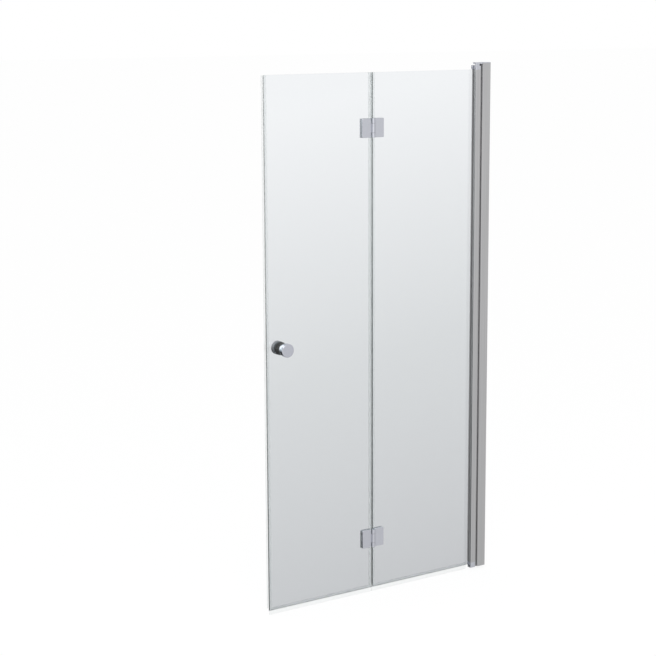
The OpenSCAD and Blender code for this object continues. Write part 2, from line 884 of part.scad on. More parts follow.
// Outer plate: the left one has the middle knuckle, the right one the two end knuckles
module hinge_plate(z, side) {
    color(plated_colour)
    translate([fold_x, 0, z]) mirror([side == left ? 1 : 0, 0, 0])
    difference() {
        union() {
            plate_solid();
            if (side == left)
                knuckle(-plate_middle + slip_t / 2 + fit, plate_middle - slip_t / 2 - fit);
            else
                for (end = [0, 1]) mirror([0, 0, end])
                    knuckle(plate_middle + slip_t / 2 + fit, plate_h / 2);
        }
        bar_z(0, axis_y, hinge_pin_r + fit, -plate_h / 2 - over, plate_h / 2 + over);
        for (step = [-1, 1])
            bar_y(plate_inner + plate_w / 2, step * clamp_screw_gap / 2, clamp_screw_r + fit,
                  plate_front_y + plate_skin, plate_back_y + over);
    }
}

// Plain pin, flush with both ends of the barrel
module hinge_pin(z) {
    color(steel_colour)
    bar_z(fold_x, axis_y, hinge_pin_r, z - plate_h / 2, z + plate_h / 2);
}

// Two slip washers between the knuckles
module hinge_washers(z) {
    color(acetal_colour)
    for (side = [-1, 1])
        translate([fold_x, axis_y, z + side * plate_middle - slip_t / 2])
            difference() {
                cylinder(h = slip_t, r = barrel_r - pass);
                translate([0, 0, -over]) cylinder(h = slip_t + 2 * over, r = hinge_pin_r + fit);
            }
}

// Gasket sheets in front of the glass and behind it
module hinge_gaskets(z, side) {
    color(gasket_colour)
    translate([fold_x, 0, z]) mirror([side == left ? 1 : 0, 0, 0])
    for (y = [glass_y0 - plate_gasket_t, glass_y1])
        difference() {
            carry(y, y + plate_gasket_t)
                flat_round([plate_inner, -plate_h / 2], [plate_inner + plate_w, plate_h / 2], plate_round);
            for (step = [-1, 1])
                bar_y(plate_inner + plate_w / 2, step * clamp_screw_gap / 2, clamp_screw_r + pass,
                      y - over, y + plate_gasket_t + over);
        }
}

// Plate on the inner side, with countersunk holes
module hinge_clamp(z, side) {
    color(plated_colour)
    difference() {
        translate([fold_x, 0, z]) mirror([side == left ? 1 : 0, 0, 0])
            carry(clamp_front_y, clamp_back_y)
                flat_round([plate_inner, -plate_h / 2], [plate_inner + plate_w, plate_h / 2], plate_round);
        for (step = [-1, 1])
            translate([screw_x(side), clamp_back_y, z + step * clamp_screw_gap / 2])
                rotate([90, 0, 0]) sunk_hole(clamp_screw_r, clamp_t + over);
    }
}

module hinge_screws(z, side) {
    reach = clamp_back_y - plate_front_y - plate_skin - end_gap;
    color(steel_colour)
    for (step = [-1, 1])
        translate([screw_x(side), clamp_back_y, z + step * clamp_screw_gap / 2])
            rotate([90, 0, 0]) sunk_screw(clamp_screw_r, reach);
}

// ---- Knob ----

// Turns a body drawn along +Z so that it stands out of the front of the glass
module knob_front() {
    translate([knob_x, glass_y0, knob_z]) rotate([90, 0, 0]) children();
}

// Turns a body drawn along +Z so that it stands out of the back of the glass
module knob_back() {
    translate([knob_x, glass_y1, knob_z]) rotate([-90, 0, 0]) children();
}

// Half outline of a disc with round rims, from h0 to h1
module disc_outline(r, h0, h1, rim) {
    flat([0, h0], [r - rim, h1]);
    flat([0, h0 + rim], [r, h1 - rim]);
    for (h = [h0 + rim, h1 - rim])
        translate([r - rim, h]) circle(rim);
}

// Outer knob: a base, a long hollow waist and a head
module knob_outer() {
    waist_h0 = knob_washer_t + knob_base;
    waist_h1 = knob_out - knob_head;
    waist_half = (waist_h1 - waist_h0) / 2;
    arc_r = (waist_half * waist_half + knob_waist * knob_waist) / (2 * knob_waist);
    body_r = knob_r - knob_step;
    color(plated_colour)
    knob_front()
    difference() {
        rotate_extrude() {
            disc_outline(body_r, knob_washer_t, waist_h0, knob_rim / 2);
            difference() {
                flat([0, waist_h0 - over], [body_r, waist_h1 + over]);
                translate([body_r + arc_r - knob_waist, (waist_h0 + waist_h1) / 2]) circle(arc_r);
            }
            disc_outline(knob_r, waist_h1, knob_out, knob_rim);
        }
        cylinder(h = stud_out, r = stud_r + fit);
        grub_hole(fit);
    }
}

// Inner knob: a flat disc on a short neck
module knob_inner() {
    disc_h0 = knob_washer_t + knob_neck;
    color(plated_colour)
    knob_back()
    difference() {
        rotate_extrude() {
            flat([0, knob_washer_t], [knob_r - knob_neck, disc_h0 + over]);
            disc_outline(knob_r, disc_h0, knob_in, knob_rim);
        }
        translate([0, 0, -over]) cylinder(h = stud_in + over, r = stud_r + fit);
    }
}

// Threaded rod through the glass
module knob_stud() {
    color(steel_colour)
    bar_y(knob_x, knob_z, stud_r, glass_y0 - stud_out, glass_y1 + stud_in);
}

// Sleeve that keeps the rod off the glass
module knob_sleeve() {
    color(gasket_colour)
    difference() {
        bar_y(knob_x, knob_z, knob_hole_r - fit, glass_y0, glass_y1);
        bar_y(knob_x, knob_z, stud_r + fit, glass_y0 - over, glass_y1 + over);
    }
}

// Clear washers on both faces of the glass
module knob_washers() {
    washer_r = knob_r / 2;
    color(gasket_colour)
    for (y = [glass_y0 - knob_washer_t, glass_y1])
        difference() {
            bar_y(knob_x, knob_z, washer_r, y, y + knob_washer_t);
            bar_y(knob_x, knob_z, stud_r + fit, y - over, y + knob_washer_t + over);
        }
}

// Hole in the underside of the outer knob for the screw that locks it on the rod
module grub_hole(gap) {
    translate([0, 0, grub_h]) rotate([90, 0, 0])
        cylinder(h = knob_r + over, r = grub_r + gap);
}

module knob_grub_screw() {
    color(black_colour)
    knob_front()
        translate([0, -stud_r - fit, grub_h]) rotate([90, 0, 0])
            difference() {
                cylinder(h = grub_length, r = grub_r);
                translate([0, 0, grub_length - grub_r])
                    cylinder(h = grub_r + over, r = grub_r * socket_share, $fn = 6);
            }
}

wall_channel();
channel_top_cap();
fixed_profile();
profile_lock_screws();
top_bracket();
top_bracket_screw();
top_pivot_pin();
top_pin_clip();
bottom_bracket();
bottom_bracket_screw();
bottom_pivot_pin();
fixed_lift_cam();
guide_bush();
glass_carrier();
carrier_top_cap();
carrier_bottom_cap();
carrier_gasket();
moving_lift_cam();
cam_roll_pin();
right_pane();
right_fold_seal();
right_bottom_seal();
hinge_plate(hinge_zs[0], right);  // upper_hinge_right_plate
hinge_gaskets(hinge_zs[0], right);  // upper_hinge_right_gaskets
hinge_clamp(hinge_zs[0], right);  // upper_hinge_right_clamp
hinge_screws(hinge_zs[0], right);  // upper_hinge_right_screws
hinge_pin(hinge_zs[0]);  // upper_hinge_pin
hinge_washers(hinge_zs[0]);  // upper_hinge_washers
hinge_plate(hinge_zs[1], right);  // lower_hinge_right_plate
hinge_gaskets(hinge_zs[1], right);  // lower_hinge_right_gaskets
hinge_clamp(hinge_zs[1], right);  // lower_hinge_right_clamp
hinge_screws(hinge_zs[1], right);  // lower_hinge_right_screws
hinge_pin(hinge_zs[1]);  // lower_hinge_pin
hinge_washers(hinge_zs[1]);  // lower_hinge_washers
left_pane();
left_fold_seal();
left_bottom_seal();
closing_seal();
hinge_plate(hinge_zs[0], left);  // upper_hinge_left_plate
hinge_gaskets(hinge_zs[0], left);  // upper_hinge_left_gaskets
hinge_clamp(hinge_zs[0], left);  // upper_hinge_left_clamp
hinge_screws(hinge_zs[0], left);  // upper_hinge_left_screws
hinge_plate(hinge_zs[1], left);  // lower_hinge_left_plate
hinge_gaskets(hinge_zs[1], left);  // lower_hinge_left_gaskets
hinge_clamp(hinge_zs[1], left);  // lower_hinge_left_clamp
hinge_screws(hinge_zs[1], left);  // lower_hinge_left_screws
knob_outer();
knob_inner();
knob_stud();
knob_sleeve();
knob_washers();
knob_grub_screw();
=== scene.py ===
"""Looks of a bifold shower door, built around its packed construction.

The construction gives every rigid piece its place and size. Here the panes, castings, caps, gaskets and
soft washers get eased edges, the clear seals get their moulded sections, and every surface gets its
finish. All lengths are metres: +X points at the wall, -Y at the person outside, +Z up.
"""
import json
import logging
import math
from dataclasses import dataclass
from enum import Enum

import bmesh
import bpy
import numpy as np
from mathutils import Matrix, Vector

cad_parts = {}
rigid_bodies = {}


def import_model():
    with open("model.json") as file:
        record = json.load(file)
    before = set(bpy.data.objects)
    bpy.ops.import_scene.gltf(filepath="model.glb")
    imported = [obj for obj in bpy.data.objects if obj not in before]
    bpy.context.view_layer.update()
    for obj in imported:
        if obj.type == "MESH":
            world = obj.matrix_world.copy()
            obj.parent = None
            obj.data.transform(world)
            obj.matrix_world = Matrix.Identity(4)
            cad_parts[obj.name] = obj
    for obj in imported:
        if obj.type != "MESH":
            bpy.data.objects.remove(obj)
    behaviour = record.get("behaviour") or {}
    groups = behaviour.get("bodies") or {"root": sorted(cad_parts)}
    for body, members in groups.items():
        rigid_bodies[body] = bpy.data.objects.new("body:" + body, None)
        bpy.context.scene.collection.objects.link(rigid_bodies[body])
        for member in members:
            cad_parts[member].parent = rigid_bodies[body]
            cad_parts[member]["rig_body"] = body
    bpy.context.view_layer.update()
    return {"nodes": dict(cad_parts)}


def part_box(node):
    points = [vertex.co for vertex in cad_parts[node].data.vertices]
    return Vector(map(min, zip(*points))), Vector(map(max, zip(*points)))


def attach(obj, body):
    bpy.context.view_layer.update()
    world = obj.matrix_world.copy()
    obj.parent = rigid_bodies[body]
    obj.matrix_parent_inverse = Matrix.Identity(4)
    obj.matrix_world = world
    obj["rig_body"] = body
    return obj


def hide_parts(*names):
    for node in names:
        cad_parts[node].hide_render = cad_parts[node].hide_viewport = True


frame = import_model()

MM = 0.001

# Corners of a copied solid that lie nearer than this are one corner
MERGE_DISTANCE = 1e-5
# Neighbouring faces of a copied solid that turn by less than this are one flat face
FLAT_ANGLE = math.radians(1)
# Edges that turn by more than this are eased on a copied solid
EASED_ANGLE = math.radians(35)
# Edges that turn by more than this stay sharp on a moulded seal
SHARP_ANGLE = math.radians(30)
# Largest share of an edge that the curve at one of its ends may take
CURVE_SHARE = 0.49
# A Noise Texture's values lie mostly between these two
NOISE_LOW, NOISE_HIGH = 0.3, 0.7

Triple = tuple[float, float, float]

log = logging.getLogger("bifold_door")


class Body(Enum):
    """Bodies of the construction that a seal can ride on."""

    RIGHT_LEAF = "right_leaf"
    LEFT_LEAF = "left_leaf"


class Slot(Enum):
    """Material slots of the record, listed beside the new pieces."""

    CHROME = "satin_chrome"
    GLASS = "clear_glass"
    SEAL = "clear_seal"
    GASKET = "clear_gasket"


class Side(Enum):
    """The two sides of the fold, as the sign of X away from it."""

    LEFT = -1
    RIGHT = 1


class Height(Enum):
    """The two heights at which the leaves are hinged."""

    UPPER = "upper"
    LOWER = "lower"


class Axis(Enum):
    """Axis that a piece was turned about."""

    Y = "Y"
    Z = "Z"


# ---- Colours and nodes ----


def linear(hex_colour: str) -> tuple[float, float, float, float]:
    """Turns an sRGB hex colour into linear RGBA, by the sRGB standard's two-part curve.

    Args:
        hex_colour: Six hex digits after a hash sign.

    Returns:
        Linear red, green, blue and an alpha of 1.
    """
    srgb = np.array([int(hex_colour[i : i + 2], 16) for i in (1, 3, 5)]) / 255
    red, green, blue = np.where(srgb <= 0.04045, srgb / 12.92, ((srgb + 0.055) / 1.055) ** 2.4)
    return float(red), float(green), float(blue), 1.0


def add_node(
    tree: bpy.types.NodeTree,
    kind: str,
    inputs: dict | None = None,
    stops: tuple[tuple[float, str], ...] = (),
    **settings: object,
) -> bpy.types.Node:
    """Adds one shader node with its settings and links.

    Args:
        tree: The material's or the world's node tree.
        kind: The node's type, without its ShaderNode prefix.
        inputs: For an input's name or number, a plain value or an output socket to link.
        stops: A Color Ramp's positions from 0 to 1 with their hex colours, in rising order.
        settings: The node's own attributes.

    Returns:
        The new node.
    """
    node = tree.nodes.new("ShaderNode" + kind)
    for name, value in settings.items():
        setattr(node, name, value)
    while stops and len(node.color_ramp.elements) < len(stops):
        node.color_ramp.elements.new(1.0)
    for index, (position, colour) in enumerate(stops):
        element = node.color_ramp.elements[index]
        element.position, element.color = position, linear(colour)
    for key, value in (inputs or {}).items():
        if isinstance(value, bpy.types.NodeSocket):
            tree.links.new(value, node.inputs[key])
        else:
            node.inputs[key].default_value = value
    return node


def object_point(
    tree: bpy.types.NodeTree, scale: Triple, centre: Triple = (0.0, 0.0, 0.0)
) -> bpy.types.NodeSocket:
    """Object coordinates, moved so that a centre lies at zero and then scaled.

    Args:
        tree: The material's node tree.
        scale: Pattern units per metre along X, Y and Z.
        centre: The point of the object that becomes zero.

    Returns:
        The vector output.
    """
    coordinates = add_node(tree, "TexCoord").outputs["Object"]
    offset = tuple(-c * s for c, s in zip(centre, scale))
    mapping = add_node(tree, "Mapping", {"Vector": coordinates, "Location": offset, "Scale": scale})
    return mapping.outputs["Vector"]


def grained(
    tree: bpy.types.NodeTree, grain_mm: Triple, detail: float, shade: str, colour: str
) -> tuple[bpy.types.NodeSocket, bpy.types.NodeSocket]:
    """Noise of a real size, and a colour that follows it.

    Args:
        tree: The material's node tree.
        grain_mm: Size of the grain along X, Y and Z in millimetres.
        detail: Number of finer noises on top of the first.
        shade: Hex colour of the noise's low places.
        colour: Hex colour of its high places.

    Returns:
        The noise's value output and the colour output.
    """
    point = object_point(tree, tuple(1 / (mm * MM) for mm in grain_mm))
    value = add_node(tree, "TexNoise", {"Vector": point, "Scale": 1.0, "Detail": detail}).outputs["Fac"]
    stops = ((NOISE_LOW, shade), (NOISE_HIGH, colour))
    return value, add_node(tree, "ValToRGB", {"Fac": value}, stops).outputs["Color"]


def new_material(name: str) -> tuple[bpy.types.Material, bpy.types.NodeTree]:
    """Makes a node material with nothing in it.

    Args:
        name: The material's name.

    Returns:
        The material and its node tree.
    """
    material = bpy.data.materials.new(name)
    material.use_nodes = True
    material.node_tree.nodes.clear()
    return material, material.node_tree


def seen_plainly(tree: bpy.types.NodeTree) -> bpy.types.NodeSocket:
    """Picks out the rays that should meet plain white.

    Args:
        tree: The material's or the world's node tree.

    Returns:
        An output that is 1 for rays from the camera and through glass, and 0 for all others.
    """
    path = add_node(tree, "LightPath").outputs
    pair = {0: path["Is Camera Ray"], 1: path["Is Transmission Ray"]}
    return add_node(tree, "Math", pair, operation="MAXIMUM").outputs["Value"]


def see_through(tree: bpy.types.NodeTree, shader: bpy.types.NodeSocket, tint: str) -> bpy.types.NodeSocket:
    """Lets rays from lamps, and the light that metal mirrors, pass a clear piece straight.

    Args:
        tree: The material's node tree.
        shader: The clear piece's own shader.
        tint: Hex colour of the light that passes.

    Returns:
        The mixed shader output.
    """
    path = add_node(tree, "LightPath").outputs
    pair = {0: path["Is Glossy Ray"], 1: path["Is Transmission Ray"]}
    mirrored = add_node(tree, "Math", pair, operation="GREATER_THAN").outputs["Value"]
    pair = {0: path["Is Shadow Ray"], 1: path["Is Diffuse Ray"]}
    lit = add_node(tree, "Math", pair, operation="MAXIMUM").outputs["Value"]
    either = add_node(tree, "Math", {0: lit, 1: mirrored}, operation="MAXIMUM").outputs["Value"]
    clear = add_node(tree, "BsdfTransparent", {"Color": linear(tint)}).outputs["BSDF"]
    return add_node(tree, "MixShader", {0: either, 1: shader, 2: clear}).outputs["Shader"]


# ---- Finishes ----


@dataclass(frozen=True)
class SatinMetal:
    """A metal with a fine directional grain: etched and anodised, or brushed and plated.

    The grain is real lines of about 0.1 mm. It is drawn at grain_mm, coarse enough to show, and runs along
    the axis whose size is large. A second, broad noise varies the gloss as handling and racking do.
    """

    name: str
    colour: str
    shade: str
    roughness: float
    grain_mm: Triple
    grain_depth_mm: float = 0.01
    grain_detail: float = 3.0
    grain_strength: float = 0.35
    patch_mm: float = 60.0
    patch_detail: float = 2.0
    gloss_spread: float = 0.1

    def build(self) -> bpy.types.Material:
        """Makes the material.

        Returns:
            The new material.
        """
        material, tree = new_material(self.name)
        grain, colour = grained(tree, self.grain_mm, self.grain_detail, self.shade, self.colour)
        point = object_point(tree, (1 / (self.patch_mm * MM),) * 3)
        patch = add_node(tree, "TexNoise", {"Vector": point, "Scale": 1.0, "Detail": self.patch_detail})
        span = {
            "Value": patch.outputs["Fac"],
            "From Min": NOISE_LOW,
            "From Max": NOISE_HIGH,
            "To Min": self.roughness * (1 - self.gloss_spread),
            "To Max": self.roughness * (1 + self.gloss_spread),
        }
        gloss = add_node(tree, "MapRange", span).outputs["Result"]
        relief = {"Height": grain, "Strength": self.grain_strength, "Distance": self.grain_depth_mm * MM}
        bump = add_node(tree, "Bump", relief).outputs["Normal"]
        metal = {"Base Color": colour, "Metallic": 1.0, "Roughness": gloss, "Normal": bump}
        shader = add_node(tree, "BsdfPrincipled", metal).outputs["BSDF"]
        add_node(tree, "OutputMaterial", {"Surface": shader})
        return material


@dataclass(frozen=True)
class TurnedMetal:
    """A metal turned on a lathe and plated or left bright: faint rings round the axis of turning.

    The feed marks are about 0.15 mm apart. They are drawn at ring_mm, so that they show. Where a piece has
    a limit in Y, it is painted dull black wherever Y is greater: painted shade and dark reflection.
    """

    name: str
    colour: str
    shade: str
    roughness: float
    axis: Axis
    centre: Triple = (0.0, 0.0, 0.0)
    ring_mm: float = 1.5
    ring_wobble: float = 0.4
    ring_depth_mm: float = 0.002
    ring_strength: float = 0.3
    gloss_spread: float = 0.15
    # Painted shade and dark reflection: beyond this Y the piece is coloured dull black
    painted_dark_y: float = math.inf
    painted_dark: str = "#343434"
    painted_dark_roughness: float = 0.5

    def build(self) -> bpy.types.Material:
        """Makes the material.

        Returns:
            The new material.
        """
        material, tree = new_material(self.name)
        point = object_point(tree, (1 / (self.ring_mm * MM) / math.tau,) * 3, self.centre)
        rings = add_node(
            tree,
            "TexWave",
            {"Vector": point, "Scale": 1.0, "Distortion": self.ring_wobble},
            wave_type="RINGS",
            rings_direction=self.axis.value,
        ).outputs["Fac"]
        stops = ((0.0, self.shade), (1.0, self.colour))
        colour = add_node(tree, "ValToRGB", {"Fac": rings}, stops).outputs["Color"]
        relief = {"Height": rings, "Strength": self.ring_strength, "Distance": self.ring_depth_mm * MM}
        bump = add_node(tree, "Bump", relief).outputs["Normal"]
        span = {
            "Value": rings,
            "To Min": self.roughness * (1 - self.gloss_spread),
            "To Max": self.roughness * (1 + self.gloss_spread),
        }
        gloss = add_node(tree, "MapRange", span).outputs["Result"]
        metallic = 1.0
        # Painted shade and dark reflection: black where Y passes the limit
        if self.painted_dark_y < math.inf:
            place = add_node(tree, "SeparateXYZ", {"Vector": add_node(tree, "TexCoord").outputs["Object"]})
            pair = {0: place.outputs["Y"], 1: self.painted_dark_y}
            bare = add_node(tree, "Math", pair, operation="LESS_THAN").outputs["Value"]
            colours = {0: bare, 6: linear(self.painted_dark), 7: colour}
            colour = add_node(tree, "Mix", colours, data_type="RGBA").outputs[2]
            glosses = {0: bare, 2: self.painted_dark_roughness, 3: gloss}
            gloss = add_node(tree, "Mix", glosses, data_type="FLOAT").outputs[0]
            metallic = bare
        metal = {"Base Color": colour, "Metallic": metallic, "Roughness": gloss, "Normal": bump}
        shader = add_node(tree, "BsdfPrincipled", metal).outputs["BSDF"]
        add_node(tree, "OutputMaterial", {"Surface": shader})
        return material


@dataclass(frozen=True)
class FloatGlass:
    """Clear float glass, 6 mm thick, toughened, with ground and polished edges.

    The faces are flat and mirror-smooth. Their cool grey, which deepens towards the floor along a height
    that leans with X, is painted shade: it stands in for the darker backdrop and reflections that the glass
    shows low down. The ground edges look into the thickness of the pane, so they are dark grey-green and
    hardly clear. A surface counts as face or edge by the Y of its normal. Rays from lamps pass straight
    through.
    """

    name: str
    # Painted shade: stops of the faces' grey from the foot of the pane to its top, darkest at the foot
    painted_shade_stops: tuple[tuple[float, str], ...]
    low_z: float
    high_z: float
    edge: str
    lean: float = 0.15
    edge_facing: float = 0.3
    face_facing: float = 0.8
    edge_clearness: float = 0.05
    ior: float = 1.52
    lamp_tint: str = "#EEF1F2"

    def build(self) -> bpy.types.Material:
        """Makes the material.

        Returns:
            The new material.
        """
        material, tree = new_material(self.name)
        coordinates = add_node(tree, "TexCoord").outputs
        place = add_node(tree, "SeparateXYZ", {"Vector": coordinates["Object"]}).outputs
        slope = {0: place["X"], 1: -self.lean, 2: place["Z"]}
        leaned = add_node(tree, "Math", slope, operation="MULTIPLY_ADD").outputs["Value"]
        span = {"Value": leaned, "From Min": self.low_z, "From Max": self.high_z}
        height = add_node(tree, "MapRange", span).outputs["Result"]
        # Painted shade: the faces' grey deepens towards the floor
        faces = add_node(tree, "ValToRGB", {"Fac": height}, self.painted_shade_stops).outputs["Color"]
        normal = add_node(tree, "SeparateXYZ", {"Vector": coordinates["Normal"]}).outputs
        facing = add_node(tree, "Math", {0: normal["Y"]}, operation="ABSOLUTE").outputs["Value"]
        span = {"Value": facing, "From Min": self.edge_facing, "From Max": self.face_facing}
        on_face = add_node(tree, "MapRange", span).outputs["Result"]
        colours = {0: on_face, 6: linear(self.edge), 7: faces}
        colour = add_node(tree, "Mix", colours, data_type="RGBA").outputs[2]
        span = {"Value": on_face, "To Min": self.edge_clearness, "To Max": 1.0}
        clearness = add_node(tree, "MapRange", span).outputs["Result"]
        glass = {"Base Color": colour, "Roughness": 0.0, "IOR": self.ior, "Transmission Weight": clearness}
        shader = add_node(tree, "BsdfPrincipled", glass).outputs["BSDF"]
        add_node(tree, "OutputMaterial", {"Surface": see_through(tree, shader, self.lamp_tint)})
        return material


@dataclass(frozen=True)
class ClearVinyl:
    """Soft PVC, extruded or cut from sheet: faint flow lines along its length and a slightly milky body."""

    name: str
    colour: str
    shade: str
    roughness: float
    flow_mm: Triple
    flow_detail: float = 2.0
    haze_spread: float = 0.3
    clearness: float = 0.97
    ior: float = 1.53
    lamp_tint: str = "#F0F2F2"

    def build(self) -> bpy.types.Material:
        """Makes the material.

        Returns:
            The new material.
        """
        material, tree = new_material(self.name)
        flow, colour = grained(tree, self.flow_mm, self.flow_detail, self.shade, self.colour)
        span = {
            "Value": flow,
            "To Min": self.roughness * (1 - self.haze_spread),
            "To Max": self.roughness * (1 + self.haze_spread),
        }
        haze = add_node(tree, "MapRange", span).outputs["Result"]
        vinyl = {
            "Base Color": colour,
            "Roughness": haze,
            "IOR": self.ior,
            "Transmission Weight": self.clearness,
        }
        shader = add_node(tree, "BsdfPrincipled", vinyl).outputs["BSDF"]
        add_node(tree, "OutputMaterial", {"Surface": see_through(tree, shader, self.lamp_tint)})
        return material


@dataclass(frozen=True)
class OpaqueSkin:
    """An opaque surface that is not bare metal, such as black oxide on steel or machined acetal."""

    name: str
    colour: str
    shade: str
    roughness: float
    grain_mm: float
    grain_depth_mm: float
    grain_detail: float = 4.0
    grain_strength: float = 0.4
    ior: float = 1.5

    def build(self) -> bpy.types.Material:
        """Makes the material.

        Returns:
            The new material.
        """
        material, tree = new_material(self.name)
        grain, colour = grained(tree, (self.grain_mm,) * 3, self.grain_detail, self.shade, self.colour)
        relief = {"Height": grain, "Strength": self.grain_strength, "Distance": self.grain_depth_mm * MM}
        bump = add_node(tree, "Bump", relief).outputs["Normal"]
        skin = {"Base Color": colour, "Roughness": self.roughness, "IOR": self.ior, "Normal": bump}
        shader = add_node(tree, "BsdfPrincipled", skin).outputs["BSDF"]
        add_node(tree, "OutputMaterial", {"Surface": shader})
        return material


@dataclass(frozen=True)
class Finishes:
    """The finishes that pieces of the door share, each built once."""

    aluminium: bpy.types.Material
    chrome: bpy.types.Material
    glass: bpy.types.Material
    vinyl: bpy.types.Material
    bulb: bpy.types.Material
    gasket: bpy.types.Material
    steel: bpy.types.Material
    black: bpy.types.Material
    acetal: bpy.types.Material
    washer: bpy.types.Material

    @classmethod
    def make(cls) -> "Finishes":
        """Builds the shared finishes.

        Returns:
            The set of finishes.
        """
        low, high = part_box("left_pane")
        return cls(
            # Aluminium 6063, extruded, etched and clear anodised: an even satin grey with faint die lines
            aluminium=SatinMetal(
                "anodised_aluminium_satin", "#BDBDBE", "#B3B3B4", 0.31, grain_mm=(3.0, 3.0, 400.0)
            ).build(),
            # Zinc die casting, satin chromed: cool lilac-grey, a soft mirror that darkens at its sides
            chrome=SatinMetal(
                "satin_chrome_casting", "#C8CAD1", "#C0C2CA", 0.42, (2.0, 2.0, 12.0), grain_depth_mm=0.006
            ).build(),
            # Clear float glass: painted shade on the faces, a cool grey over white that deepens towards the
            # floor; dark along the ground edges
            glass=FloatGlass(
                "toughened_float_glass",
                painted_shade_stops=((0.0, "#C3C5C8"), (0.5, "#D7DADC"), (1.0, "#F3F5F7")),
                low_z=low.z,
                high_z=high.z,
                edge="#383C3B",
            ).build(),
            # Clear PVC, extruded: almost invisible on a pane, a thin grey line at each bend
            vinyl=ClearVinyl("clear_pvc_extrusion", "#FAFBFB", "#F5F6F6", 0.05, (2.0, 2.0, 300.0)).build(),
            # Soft PVC, extruded, coloured dark grey: the dark line of the fold
            bulb=ClearVinyl(
                "smoke_grey_soft_pvc", "#747676", "#6C6E6E", 0.35, (2.0, 2.0, 300.0), clearness=0.4
            ).build(),
            # Clear vinyl sheet, die cut: milkier than the seals
            gasket=ClearVinyl(
                "clear_vinyl_gasket", "#EDEEEE", "#E7E9E9", 0.3, (8.0, 8.0, 80.0), clearness=0.4
            ).build(),
            # Stainless steel A2, turned: bright grey with fine feed rings
            steel=TurnedMetal("turned_stainless_steel", "#B4B4B6", "#A2A2A5", 0.28, Axis.Z).build(),
            # Steel screws, black oxide: near black, with hardly any sheen
            black=OpaqueSkin(
                "black_oxide_steel", "#0C0C0D", "#070708", 0.6, grain_mm=0.8, grain_depth_mm=0.01, ior=1.3
            ).build(),
            # White acetal, machined: slightly warm and waxy
            acetal=OpaqueSkin(
                "machined_acetal", "#ECEBE6", "#E0DFDA", 0.38, grain_mm=1.2, grain_depth_mm=0.008
            ).build(),
            # Grey acetal, stamped from sheet: a dark hairline at each joint of a hinge's barrel
            washer=OpaqueSkin(
                "grey_acetal_sheet", "#605E5E", "#565454", 0.45, grain_mm=1.2, grain_depth_mm=0.008
            ).build(),
        )


# ---- Surfaces ----


def swept(name: str, rings: np.ndarray) -> bpy.types.Object:
    """Surface through a stack of closed rings, with a flat face on the first and on the last.

    Point (i, j) of the surface is point j of ring i. Each side face joins points j and j + 1 of rings i
    and i + 1, and j + 1 wraps round to 0.

    Args:
        name: The object's name.
        rings: Array of shape (rings, points, 3), in metres.

    Returns:
        The new object, whose faces point outwards.
    """
    count, size = rings.shape[:2]
    index = np.arange(count * size).reshape(count, size)
    ahead = np.roll(index, -1, axis=1)
    sides = np.stack([index[:-1], ahead[:-1], ahead[1:], index[1:]], axis=-1).reshape(-1, 4)
    faces = sides.tolist() + [index[0, ::-1].tolist(), index[-1].tolist()]
    mesh = bpy.data.meshes.new(name)
    mesh.from_pydata(rings.reshape(-1, 3).tolist(), [], faces)
    work = bmesh.new()
    work.from_mesh(mesh)
    if work.calc_volume(signed=True) < 0:
        bmesh.ops.reverse_faces(work, faces=work.faces)
    work.to_mesh(mesh)
    work.free()
    mesh.shade_smooth()
    mesh.set_sharp_from_angle(angle=SHARP_ANGLE)
    piece = bpy.data.objects.new(name, mesh)
    bpy.context.scene.collection.objects.link(piece)
    return piece


def stacked(outline: np.ndarray, heights: np.ndarray) -> np.ndarray:
    """Copies of a flat outline at several heights.

    Args:
        outline: Array of shape (points, 2), in X and Y.
        heights: Array of Z values.

    Returns:
        Array of shape (heights, points, 3).
    """
    rings = np.empty((len(heights), len(outline), 3))
    rings[..., :2] = outline
    rings[..., 2] = heights[:, None]
    return rings


def rounded(corners: np.ndarray, radius: float, steps: int = 4) -> np.ndarray:
    """Rounds the corners of a closed outline.

    Each corner becomes a curve that leaves one edge at a distance before the corner and joins the next edge
    at the same distance after it: (1 - t)^2 of the first point, 2t(1 - t) of the corner and t^2 of the
    last. The distance is the radius, or less where an edge is short.

    Args:
        corners: Array of shape (corners, 2).
        radius: Distance of the curve's ends from the corner.
        steps: Number of points on each curve.

    Returns:
        Array of shape (corners * steps, 2).
    """
    before = np.roll(corners, 1, axis=0) - corners
    after = np.roll(corners, -1, axis=0) - corners
    length_before = np.linalg.norm(before, axis=1, keepdims=True)
    length_after = np.linalg.norm(after, axis=1, keepdims=True)
    cut = np.minimum(radius, CURVE_SHARE * np.minimum(length_before, length_after))
    start = corners + before / length_before * cut
    end = corners + after / length_after * cut
    t = np.linspace(0, 1, steps)[None, :, None]
    curve = (1 - t) ** 2 * start[:, None] + 2 * t * (1 - t) * corners[:, None] + t**2 * end[:, None]
    return curve.reshape(-1, 2)


